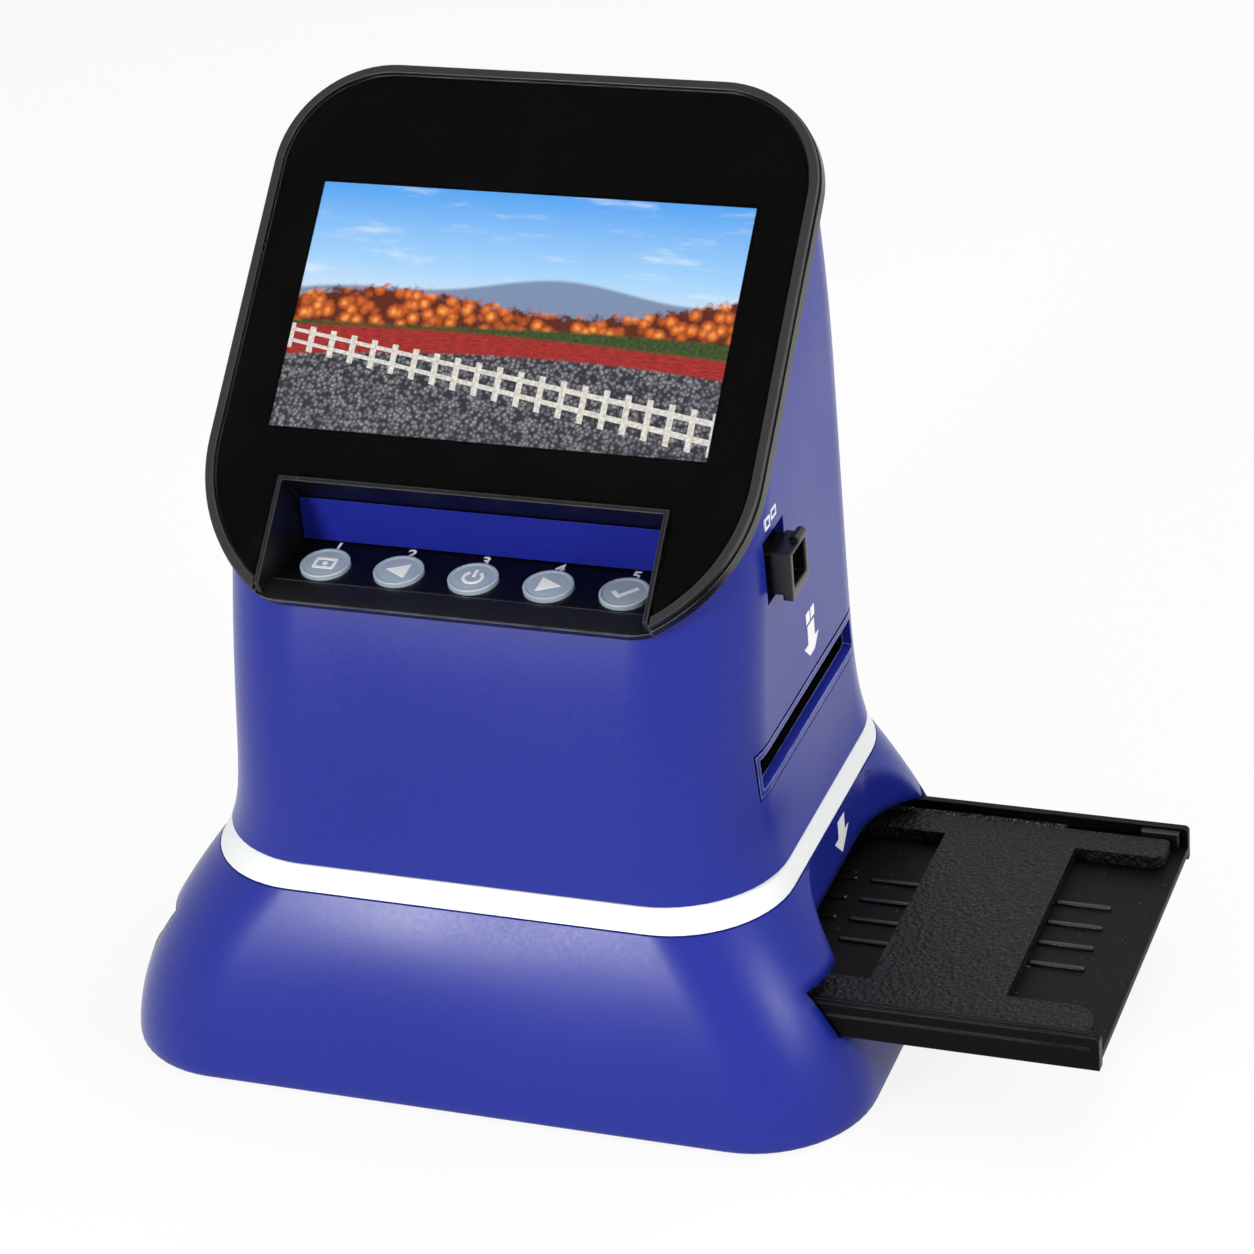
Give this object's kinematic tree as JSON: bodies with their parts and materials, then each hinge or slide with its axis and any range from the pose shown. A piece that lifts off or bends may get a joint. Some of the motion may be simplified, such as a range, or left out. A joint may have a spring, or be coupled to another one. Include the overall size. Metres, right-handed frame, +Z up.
{
  "type": "film negative scanner",
  "caption": "Desktop film scanner: a tower with a tilted screen over a recessed row of buttons, a film slot through it, a flared base and a film tray that slides through the base.",
  "frame": {"origin": "on the floor under the axis of the tower; the rest face of the bottom cover lies just above it", "axes": "+X to the right, towards the side where the tray stands out; +Y to the rear wall; +Z up"},
  "size_m": [0.2491, 0.1371, 0.2209],
  "materials": {
    "blue_plastic": "satin royal blue moulding",
    "white_plastic": "satin white moulding",
    "black_plastic": "fine black moulding",
    "dark_gloss": "gloss navy-black",
    "black_glass": "black-printed cover glass",
    "button_silver": "silver grey",
    "black_texture": "coarse sparkle texture",
    "rubber": "matt",
    "steel": "plain",
    "circuit_green": "solder-masked board",
    "clear_lens": "polished"
  },
  "bodies": {
    "housing": {"base_skirt": "blue_plastic", "stripe_ring": "white_plastic", "tower_shell": "blue_plastic", "bottom_cover": "black_plastic", "foot_1": "rubber", "foot_2": "rubber", "foot_3": "rubber", "foot_4": "rubber", "cover_screw_1": "steel", "cover_screw_2": "steel", "cover_screw_3": "steel", "cover_screw_4": "steel", "bezel_frame": "black_plastic", "rear_collar": "black_plastic", "display_glass": "black_glass", "lcd_panel": "steel", "recess_tub": "black_plastic", "recess_back": "blue_plastic", "button_deck": "dark_gloss", "button_board": "circuit_green", "film_gate": "black_plastic", "camera_bracket": "black_plastic", "guide_rod_left": "steel", "guide_rod_right": "steel", "sensor_board": "circuit_green", "lamp_ring": "circuit_green", "main_board": "circuit_green", "usb_socket": "steel", "hdmi_socket": "steel", "card_socket": "steel", "light_box": "white_plastic", "led_board": "circuit_green", "diffuser": "white_plastic", "tray_rail_front": "black_plastic", "tray_rail_back": "black_plastic"},
    "tray": {"tray_body": "black_plastic", "tray_plate": "black_texture"},
    "lens": {"selector_knob": "black_plastic", "lens_carriage": "black_plastic", "lens_barrel": "black_plastic", "lens_glass": "clear_lens"},
    "button_1": {"button_1": "button_silver"},
    "button_2": {"button_2": "button_silver"},
    "button_3": {"button_3": "button_silver"},
    "button_4": {"button_4": "button_silver"},
    "button_5": {"button_5": "button_silver"}
  },
  "joints": [
    {"name": "tray_slide", "type": "slide", "parent": "housing", "child": "tray", "axis": [1, 0, 0], "range_m": [-0.0775, 0.045]},
    {"name": "lens_select", "type": "slide", "parent": "housing", "child": "lens", "axis": [0, 0, 1], "range_m": [-0.0022, 0.0032]},
    {"name": "button_1_press", "type": "slide", "parent": "housing", "child": "button_1", "axis": [0, 0.0958, -0.9954], "range_m": [0, 0.0008], "stiffness_N_per_m": 600, "springref_m": -0.0006},
    {"name": "button_2_press", "type": "slide", "parent": "housing", "child": "button_2", "axis": [0, 0.0958, -0.9954], "range_m": [0, 0.0008], "stiffness_N_per_m": 600, "springref_m": -0.0006},
    {"name": "button_3_press", "type": "slide", "parent": "housing", "child": "button_3", "axis": [0, 0.0958, -0.9954], "range_m": [0, 0.0008], "stiffness_N_per_m": 600, "springref_m": -0.0006},
    {"name": "button_4_press", "type": "slide", "parent": "housing", "child": "button_4", "axis": [0, 0.0958, -0.9954], "range_m": [0, 0.0008], "stiffness_N_per_m": 600, "springref_m": -0.0006},
    {"name": "button_5_press", "type": "slide", "parent": "housing", "child": "button_5", "axis": [0, 0.0958, -0.9954], "range_m": [0, 0.0008], "stiffness_N_per_m": 600, "springref_m": -0.0006}
  ]
}
